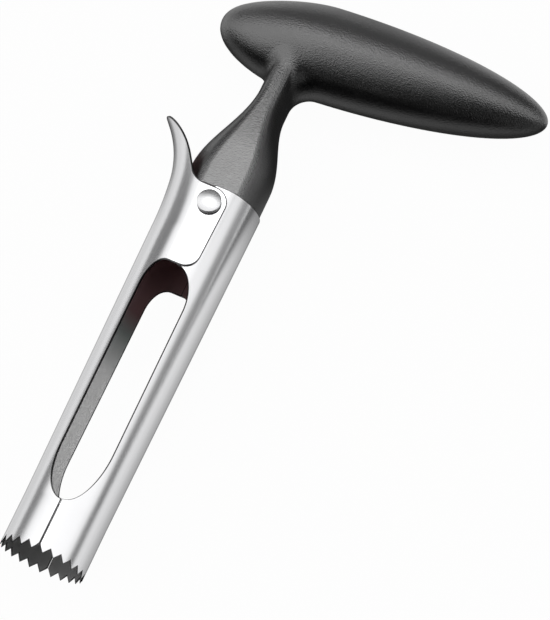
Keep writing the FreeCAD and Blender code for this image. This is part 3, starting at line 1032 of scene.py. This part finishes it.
def make_shell(name, outline, unroll, press, body, hole, edge_shade_share):
    """Cuts the blank, presses its outer and inner faces, drills the rivet's hole and rolls the edges.

    The edge shade share says how wide the painted dark line, painted shade along the cut edges, is: 1 as the
    finish gives it, 0.5 half.
    """
    side, up = cut_blank(outline, unroll)
    outer = press(side, up, 0.0)
    inner = press(side, up, wall(up))
    points = np.concatenate([outer.reshape(-1, 3), inner.reshape(-1, 3)])
    flat_map = np.stack([side.ravel(), up.ravel()], axis=-1)
    flat_map = np.concatenate([flat_map, flat_map])
    from_edge = np.tile(edge_distance(side, up).ravel(), 2) / edge_shade_share
    marks = {"inside": np.repeat([0.0, 1.0], side.size), "from_edge": from_edge}
    faces = sheet_faces(*side.shape)
    piece = new_piece(name, points, faces, body, shell_satin, flat_map, marks)
    drill(piece, hole)
    roll_edges(piece, edge_roll)
    return piece


fixed_half = make_shell(
    "fixed_half", fixed_outline(), fixed_unroll, press_fixed, "handle", hole=2.0, edge_shade_share=0.5,
)
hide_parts("fixed_shell")

# %% [markdown]
# ## The lever half
# The half that opens carries two ears on the rivet and runs on past them as the thumb lever. Its spine
# leans away from the barrel, bends through a tight arc and ends straight. The same round section travels
# along that line, always square to it, so the press has one more step: a point's depth is measured along the
# spine's normal.

# %% The lever's spine, and its unrolling
lever_radius = 13.3
lever_cheek = 12.75
lever_start = 97.9
lean_radius = 100.0
lean_angle = math.radians(8.6)
bend_radius = 32.0
bend_angle = math.radians(41.0)
last_straight = 2.3
lean_top = lever_start + lean_radius * lean_angle
bend_top = lean_top + bend_radius * (bend_angle - lean_angle)
spine_top = bend_top + last_straight

lean_centre = np.array([-lever_radius - lean_radius, lever_start])
lean_normal = np.array([math.cos(lean_angle), math.sin(lean_angle)])
bend_centre = lean_centre + lean_normal * (lean_radius - bend_radius)
bend_normal = np.array([math.cos(bend_angle), math.sin(bend_angle)])
bend_onward = np.array([-math.sin(bend_angle), math.cos(bend_angle)])
bend_end = bend_centre + bend_normal * bend_radius


def lever_section_radius(up):
    """Constant below the windows, then widening evenly to where the lever starts to lean."""
    return grown(up, window_start, lever_start, mouth_radius, lever_radius)


def lever_cheek_at(up):
    """The flat cheeks open evenly from the round mouth to the ears."""
    return grown(up, window_start, window_end, mouth_radius, lever_cheek)


def spine_angle(up):
    """How far the spine has turned away from the barrel: none, then the lean, then the bend."""
    lean = np.clip((up - lever_start) / lean_radius, 0, lean_angle)
    bend = np.clip((up - lean_top) / bend_radius, 0, bend_angle - lean_angle)
    return lean + bend


def spine_point(up):
    """The spine in the (x, z) plane, as arcs about the two centres and a straight end."""
    turn = spine_angle(up)
    normal = np.stack([np.cos(turn), np.sin(turn)], axis=-1)
    barrel = np.stack([-lever_section_radius(up), up], axis=-1)
    lean = lean_centre + lean_radius * normal
    bend = bend_centre + bend_radius * normal + np.maximum(up - bend_top, 0)[..., None] * bend_onward
    place = np.where((up > lever_start)[..., None], lean, barrel)
    return np.where((up > lean_top)[..., None], bend, place), normal


def lever_unroll(x, z):
    """From the side view to the blank: which part of the spine faces the point, and how deep below it."""
    point = np.stack([x, z], axis=-1)
    up = z.astype(float)
    depth = x + lever_section_radius(z)
    arm = point - lean_centre
    turn = np.arctan2(arm[:, 1], arm[:, 0])
    up = np.where(turn > 0, lever_start + lean_radius * turn, up)
    depth = np.where(turn > 0, np.hypot(*arm.T) - lean_radius, depth)
    arm = point - bend_centre
    turn = np.arctan2(arm[:, 1], arm[:, 0])
    up = np.where(turn > lean_angle, lean_top + bend_radius * (turn - lean_angle), up)
    depth = np.where(turn > lean_angle, np.hypot(*arm.T) - bend_radius, depth)
    past = (point - bend_end) @ bend_onward
    up = np.where(past > 0, bend_top + past, up)
    depth = np.where(past > 0, (point - bend_end) @ bend_normal, depth)
    return unrolled_side(np.maximum(depth, 0), lever_section_radius(up), lever_cheek_at(up)), up


def press_lever(side, up, inset):
    """From the blank to space: the section rides along the spine, square to it."""
    depth, y = section(side, lever_section_radius(up), lever_cheek_at(up), inset, cheek_blend(up))
    place, normal = spine_point(up)
    place = place + depth[..., None] * normal
    return np.stack([place[..., 0], y, place[..., 1]], axis=-1)


print("lever's spine is", round(spine_top, 1), "mm long from the tooth tips")

# %% Press the lever half
lever_reach = 7.3
lever_start_rise = 14.5
lever_end_rise = 8.5
lever_end_flat = 2.8
ear_radius = 4.85
ear_corner = 4.4
ear_lean = math.radians(1.5)
edge_start = 5.9
edge_lean = math.radians(33.0)
edge_fillet = 6.0
tip_length = 17.0


def arc_between(start, end, tangent):
    """Points of the arc that leaves the start along a direction and reaches the end."""
    chord = end - start
    half = math.atan2(tangent[0] * chord[1] - tangent[1] * chord[0], tangent @ chord)
    share = np.linspace(0, 1, 120)
    length = np.hypot(*chord) * np.sin(share * half) / math.sin(half)
    turn = math.atan2(tangent[1], tangent[0]) + share * half
    return start + np.stack([length * np.cos(turn), length * np.sin(turn)], axis=-1)


def lever_outline():
    """The cut edge from the ring's level up: seam, window, ear round the rivet, the lever's edge, its tip."""
    low = window_start + lever_start_rise
    high = window_end - lever_end_rise
    first = math.degrees(math.asin(seam / lever_reach))
    ear_top = rivet_height + ear_radius
    drop = rivet_height - window_end - ear_corner
    corner_x = rivet_offset + (ear_radius - ear_corner) / math.cos(ear_lean) - drop * math.tan(ear_lean)
    outward = np.array([math.cos(ear_lean), -math.sin(ear_lean)])
    corner = np.array([corner_x, window_end + ear_corner])
    rivet = np.array(rivet_middle)
    onward = np.array([-math.sin(edge_lean), math.cos(edge_lean)])
    meeting = np.array([-edge_start, ear_top])
    reach = edge_fillet * math.tan((math.pi / 2 - edge_lean) / 2)
    fillet_start = meeting + np.array([reach, 0])
    fillet_end = meeting + onward * reach
    tip = bend_end + bend_onward * last_straight
    tip_start = meeting + onward * ((tip - meeting) @ onward - tip_length)
    lean = math.degrees(ear_lean)
    return [
        (straight((-seam, ring_level), (-seam, window_start)), 10, 8.5),
        (ellipse_arc((0, low), lever_reach, lever_start_rise, -90 - first, -180), 26, low),
        (straight((-lever_reach, low), (-lever_reach, high)), 28, high),
        (
            ellipse_arc((-lever_end_flat, high), lever_reach - lever_end_flat, lever_end_rise, 180, 90),
            14, 89.5,
        ),
        (straight((-lever_end_flat, window_end), (corner_x, window_end)), 8, 93.0),
        (ellipse_arc(corner, ear_corner, ear_corner, -90, -lean), 14, 96.5),
        (straight(corner + outward * ear_corner, rivet + outward * ear_radius), 12, 104.0),
        (ellipse_arc(rivet, ear_radius, ear_radius, -lean, 90), 16, 109.0),
        (straight((rivet_offset, ear_top), fillet_start), 5, 111.6),
        (arc_between(fillet_start, fillet_end, np.array([-1.0, 0.0])), 10, 116.0),
        (straight(fillet_end, tip_start), 6, 118.5),
        (arc_between(tip_start, tip, onward)[:-1], 32, spine_top - 0.02),
    ]


lever_half = make_shell(
    "lever_half", lever_outline(), lever_unroll, press_lever, "lever", hole=2.05, edge_shade_share=1.0,
)
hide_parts("lever_shell")

# %% [markdown]
# ## The rivet
# Two turned parts hold the halves together: a headed tube from the front and a headed pin pressed into it
# from the back. A turned part is a profile carried round an axis. Each head is a low dome with a rolled edge.

# %% Turn the two halves of the rivet
head_radius = 3.4
head_height = 1.5
head_dome = 0.30
head_roll = 0.2
head_lip = 0.06
head_clearance = 0.12
head_seat = lever_cheek + head_clearance
tube_radius = 2.0
tube_bore = 1.3
tube_chamfer = 0.1
press_gap = 0.02
pin_chamfer = 0.2
turned_columns = 72
ring_wave = 0.2


def head_profile():
    """(radius, height above the seat): from the dome's middle over the rolled edge and in under the head."""
    dome = (head_radius ** 2 + head_dome ** 2) / (2 * head_dome)
    middle = head_height - dome
    roll_reach = head_radius - head_roll
    roll_rise = math.sqrt((dome - head_roll) ** 2 - roll_reach ** 2)
    meet = math.atan2(roll_rise, roll_reach)
    over = np.linspace(math.pi / 2, meet, 14)
    roll = np.linspace(meet, 0, 9)[1:]
    top = np.stack([dome * np.cos(over), middle + dome * np.sin(over)], axis=-1)
    roll_up = middle + roll_rise + head_roll * np.sin(roll)
    edge = np.stack([roll_reach + head_roll * np.cos(roll), roll_up], axis=-1)
    under = np.array([[head_radius, head_lip], [head_radius - head_lip, 0.0]])
    return np.concatenate([top, edge, under])


def turned(name, profile, side, node):
    """A profile of (radius, distance along the axis) carried round the rivet's axis, closed at both poles.

    Its flat map is the distance walked along the profile, and a little of the turn so that rings waver.
    """
    turns = np.linspace(0, 2 * np.pi, turned_columns, endpoint=False)
    radius = np.maximum(profile[:, :1], 0)
    x = rivet_offset + radius * np.cos(turns)
    z = rivet_height + radius * np.sin(turns)
    y = np.broadcast_to(side * profile[:, 1:], x.shape)
    rows = len(profile)
    faces = grid_faces(rows, turned_columns, True)
    faces[faces < turned_columns] = 0
    last_ring = (rows - 1) * turned_columns
    faces[faces >= last_ring] = last_ring
    walked = np.concatenate([[0], np.cumsum(np.hypot(*np.diff(profile, axis=0).T))])
    waver = ring_wave * turns[None, :]
    rings = np.stack(np.broadcast_arrays(walked[:, None], waver), axis=-1).reshape(-1, 2)
    points = np.stack([x, y, z], axis=-1).reshape(-1, 3)
    piece = new_piece(name, points, faces, "handle", rivet_satin, rings)
    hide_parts(node)
    return piece


head = head_profile() + np.array([0, head_seat])
tube = np.array([
    [tube_radius, head_seat], [tube_radius, -head_seat + tube_chamfer],
    [tube_radius - tube_chamfer, -head_seat], [tube_bore + tube_chamfer, -head_seat],
    [tube_bore, -head_seat + tube_chamfer], [tube_bore, head_seat], [0.0, head_seat],
])
pin_radius = tube_bore - press_gap
pin_end = -head_seat + head_height
pin = np.array([
    [pin_radius, head_seat], [pin_radius, pin_end + pin_chamfer],
    [pin_radius - pin_chamfer, pin_end], [0.0, pin_end],
])
rivet_tube = turned("rivet_tube", np.concatenate([head, tube]), -1, "pivot_sleeve")
rivet_pin = turned("rivet_pin", np.concatenate([head, pin]), 1, "pivot_pin")

# %% [markdown]
# ## The handle's skin
# The handle is one moulding: an oval neck, flattened front and back, that runs into a bar of two half
# ellipsoids with soft hollows where they meet. Such a blend is easiest as a distance field: a formula that
# says how far a point lies outside each form. The smaller of two distances joins the forms, and a quarter
# circle between them rounds the join. The grid only has to be near: each point is then moved along the field
# until it is on the skin.

# %% The handle as a distance field
rim_height = 112.9
bar_centre = np.array([10.2, 0.0, 166.8])
bar_tilt = math.radians(4.2)
bar_radius = 13.7
bar_short = 32.0
bar_long = 65.3
short_trim = 1.3
trim_reach = 24.0
trim_rise = 6.0
bar_along = np.array([math.cos(bar_tilt), 0, math.sin(bar_tilt)])
bar_up = np.array([-math.sin(bar_tilt), 0, math.cos(bar_tilt)])
left_shoulder, left_waist, left_rises = 10.8, 2.4, (6.1, 34.6)
right_shoulder, right_waist, right_rises = 12.65, 6.9, (8.1, 32.1)
neck_depths = (24.9, 22.9)
flat_depth = 20.8
waist_rise = 34.6
left_hollow = 3.0
right_hollow = 6.5
front_hollow = 2.0
facet_roll = 0.8
cap_roll = 4.0
worn_rises = (14.0, 40.0)
worn_fade = 0.5


def gently(share):
    """A share from 0 to 1 that starts and ends gently: 3 s^2 - 2 s^3."""
    return share * share * (3 - 2 * share)


def ease(first, last, start, end, height):
    """A size that goes from first to last between two rises above the rim, along half a cosine wave."""
    share = np.clip((height - rim_height - start) / (end - start), 0, 1)
    return first + (last - first) * (1 - np.cos(np.pi * share)) / 2


def neck_oval(height):
    """The neck's middle, half width and half depth at a height."""
    left = ease(left_shoulder, left_waist, *left_rises, height)
    right = ease(right_shoulder, right_waist, *right_rises, height)
    return (right - left) / 2, (right + left) / 2, ease(*neck_depths, 0, waist_rise, height) / 2


def ellipse_distance(parts, halves):
    """About how far outside an ellipse or ellipsoid a point is: k (k - 1) / m, by its scaled coordinates."""
    ratio = sum((part / half) ** 2 for part, half in zip(parts, halves)) ** 0.5
    steep = sum((part / half ** 2) ** 2 for part, half in zip(parts, halves)) ** 0.5
    return ratio * (ratio - 1) / steep


def handle_distance(points):
    """How far a point lies outside the handle: the bar and the flattened neck, joined with a hollow.

    The bar's upper side is trimmed a little towards its short end. The neck is an oval cut by the flats and
    capped at the bar's middle, each cut with a rolled corner.
    """
    away = points - bar_centre
    along, up, y = away @ bar_along, away @ bar_up, points[..., 1]
    trim = short_trim * gently(np.clip(-along / trim_reach, 0, 1)) * np.clip(up / trim_rise, 0, 1)
    high = bar_radius - trim
    bar = ellipse_distance((along, up, y), (np.where(along > 0, bar_long, bar_short), high, bar_radius))
    middle, half_width, half_depth = neck_oval(points[..., 2])
    oval = ellipse_distance((points[..., 0] - middle, y), (half_width, half_depth))
    flat = np.abs(y) - flat_depth / 2
    corner = np.hypot(np.maximum(oval + facet_roll, 0), np.maximum(flat + facet_roll, 0))
    neck = np.minimum(np.maximum(oval, flat), -facet_roll) + corner
    capped = np.hypot(np.maximum(neck + cap_roll, 0), np.maximum(up + cap_roll, 0))
    neck = np.minimum(np.maximum(neck, up), -cap_roll) + capped
    lean = np.clip((points[..., 0] - middle) / half_width, -1, 1)
    side_hollow = left_hollow + (right_hollow - left_hollow) * (0.5 + lean * (3 - lean * lean) / 4)
    aside = np.clip(1 - (y / half_depth) ** 2, 0, 1)
    hollow = front_hollow + (side_hollow - front_hollow) * aside
    inner = np.hypot(np.maximum(hollow - bar, 0), np.maximum(hollow - neck, 0))
    return np.maximum(np.minimum(bar, neck), hollow) - inner


def onto_skin(points, level, fixed_row, rounds=8):
    """Newton steps along the field's slope until the distance is the level; the rim keeps its height."""
    step = 0.01
    shifts = np.eye(3) * step
    for _ in range(rounds):
        value = handle_distance(points) - level
        slope = [handle_distance(points + shift) - handle_distance(points - shift) for shift in shifts]
        slope = np.stack(slope, axis=-1) / (2 * step)
        slope[fixed_row, :, 2] = 0
        steep = np.maximum((slope ** 2).sum(axis=-1), 0.05)
        points = points - np.clip(value / steep, -2, 2)[..., None] * slope
    return points


print("middle of the bar is", round(float(handle_distance(bar_centre + 1.0)), 2), "mm inside")

# %% The grid: rows that climb the neck and open over the bar
skin_columns = 200
neck_rows = 54
bar_rows = 110
rim_thickness = 0.8
skin_thickness = 0.6
thinning_rise = 12.0
top_pole_share = 0.995
spreading_share = 0.45
smoothing_rounds = 12


def oval_ring(height, turns):
    """Points of the neck's oval at a height, by their angle round it."""
    middle, half_width, half_depth = neck_oval(height)
    x = middle + half_width * np.cos(turns)
    return np.stack(np.broadcast_arrays(x, half_depth * np.sin(turns), height), axis=-1)


def start_grid():
    """A rough grid: ovals up the neck to the bar, then circles on a unit ball stretched to the bar.

    On the ball a row is a circle about the neck's direction. Its points start as crowded as the neck's oval
    has them and spread evenly as the rows travel to the far side.
    """
    turns = np.linspace(0, 2 * np.pi, skin_columns, endpoint=False)
    waist = rim_height + waist_rise
    foot = oval_ring(np.array(waist), turns)
    away = foot - bar_centre
    along, up = away @ bar_along, away @ bar_up
    a = (bar_along[2] / bar_short) ** 2 + (bar_up[2] / bar_radius) ** 2
    b = 2 * (along * bar_along[2] / bar_short ** 2 + up * bar_up[2] / bar_radius ** 2)
    c = (along / bar_short) ** 2 + (up / bar_radius) ** 2 + (foot[:, 1] / bar_radius) ** 2 - 1
    climb = (-b - np.sqrt(np.maximum(b * b - 4 * a * c, 0))) / (2 * a)
    share = np.linspace(0, 1, neck_rows)[:, None]
    height = rim_height * (1 - share) + (waist + climb) * share
    neck = oval_ring(height, turns)

    away = neck[-1] - bar_centre
    along, up = away @ bar_along, away @ bar_up
    ball = np.stack([along / bar_short, neck[-1, :, 1] / bar_radius, up / bar_radius], axis=-1)
    ball /= np.linalg.norm(ball, axis=-1, keepdims=True)
    foot_way = ball.mean(axis=0) * np.array([1, 0, 1])
    foot_way /= np.linalg.norm(foot_way)
    side_way = np.array([0.0, 1.0, 0.0])
    long_way = np.cross(side_way, foot_way)
    long_way *= np.sign(long_way[0])
    open_angle = np.arccos(np.clip(ball @ foot_way, -1, 1))
    heading = np.arctan2(ball @ side_way, ball @ long_way)
    crowded = turns + (heading - turns + np.pi) % (2 * np.pi) - np.pi
    share = np.linspace(0, top_pole_share, bar_rows)[1:, None]
    spread = gently(np.clip(share / spreading_share, 0, 1))
    heading = crowded * (1 - spread) + turns * spread
    angle = open_angle * (1 - share) + np.pi * share
    around = np.cos(heading)[..., None] * long_way + np.sin(heading)[..., None] * side_way
    ball = np.cos(angle)[..., None] * foot_way + np.sin(angle)[..., None] * around
    reach = np.where(ball[..., 0] > 0, bar_long, bar_short)
    along_part = (ball[..., 0] * reach)[..., None] * bar_along
    up_part = (ball[..., 2] * bar_radius)[..., None] * bar_up
    bar = bar_centre + along_part + up_part
    bar[..., 1] += ball[..., 1] * bar_radius
    return np.concatenate([neck, bar])


def relaxed(points, rounds):
    """Evens out the spacing: each inner point goes towards its four neighbours' middle, then back."""
    for _ in range(rounds):
        beside = (np.roll(points, 1, axis=1) + np.roll(points, -1, axis=1)) / 2
        between = (points[:-2] + points[2:]) / 2
        points = points.copy()
        points[1:-1] += 0.5 * ((between + beside[1:-1]) / 2 - points[1:-1])
        points = onto_skin(points, 0.0, 0, rounds=2)
    return points


skin = relaxed(onto_skin(start_grid(), 0.0, 0), smoothing_rounds)
thinned = np.clip((skin[..., 2] - rim_height) / thinning_rise, 0, 1)
thickness = rim_thickness + (skin_thickness - rim_thickness) * thinned
lining = onto_skin(skin, -thickness, 0)
print("skin is off its formula by at most", round(float(np.abs(handle_distance(skin)).max()), 5), "mm")

# %% Close the skin and give it its finish
rim_roll = 0.25


def make_grip():
    """The outer skin and the lining joined round the rim, each closed at its pole on the bar's far side."""
    rows = len(skin)
    count = rows * skin_columns
    outer_pole = skin[-1].mean(axis=0)
    inner_pole = lining[-1].mean(axis=0)
    poles = onto_skin(np.stack([outer_pole, outer_pole])[None], 0.0, [])[0, :1]
    inner_poles = onto_skin(np.stack([inner_pole, inner_pole])[None], -skin_thickness, [])[0, :1]
    points = np.concatenate([skin.reshape(-1, 3), poles, lining.reshape(-1, 3), inner_poles])
    outer = grid_faces(rows, skin_columns, True)
    inner = outer[:, ::-1] + count + 1
    column = np.arange(skin_columns)
    beside = (column + 1) % skin_columns
    top = (rows - 1) * skin_columns
    cap = np.stack([top + column, top + beside, 0 * column + count, 0 * column + count], axis=-1)
    inner_cap = cap[:, ::-1] + count + 1
    rim = np.stack([beside, column, column + count + 1, beside + count + 1], axis=-1)
    faces = np.concatenate([outer, inner, cap, inner_cap, rim])
    worn_span = worn_rises[1] - worn_rises[0]
    worn = 1 - np.clip((points[:, 2] - rim_height - worn_rises[0]) / worn_span, 0, 1)
    worn *= np.clip((np.abs(points[:, 1]) - flat_depth / 2) / worn_fade + 1, 0, 1)
    grip = new_piece("grip", points, faces, "handle", grip_black, marks={"worn": worn})
    roll_edges(grip, rim_roll, 3)
    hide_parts("handle_grip")
    return grip


grip = make_grip()

# %% [markdown]
# ## The core
# Under the skin the rigid core shows only where its foot fills the top of the barrel, seen through the
# windows. The solid model already has that shape, so its node stays and only takes the moulding's finish.

# %% Dress the core
weld_distance = 0.00001
crisp_angle = math.radians(30)
core = frame["nodes"]["handle_core"]
core.data.materials.clear()
core.data.materials.append(core_black)
weld = core.modifiers.new("weld", "WELD")
weld.merge_threshold = weld_distance
split = core.modifiers.new("crisp_edges", "EDGE_SPLIT")
split.split_angle = crisp_angle
core.data.polygons.foreach_set("use_smooth", np.ones(len(core.data.polygons), bool))
print("core faces", len(core.data.polygons))
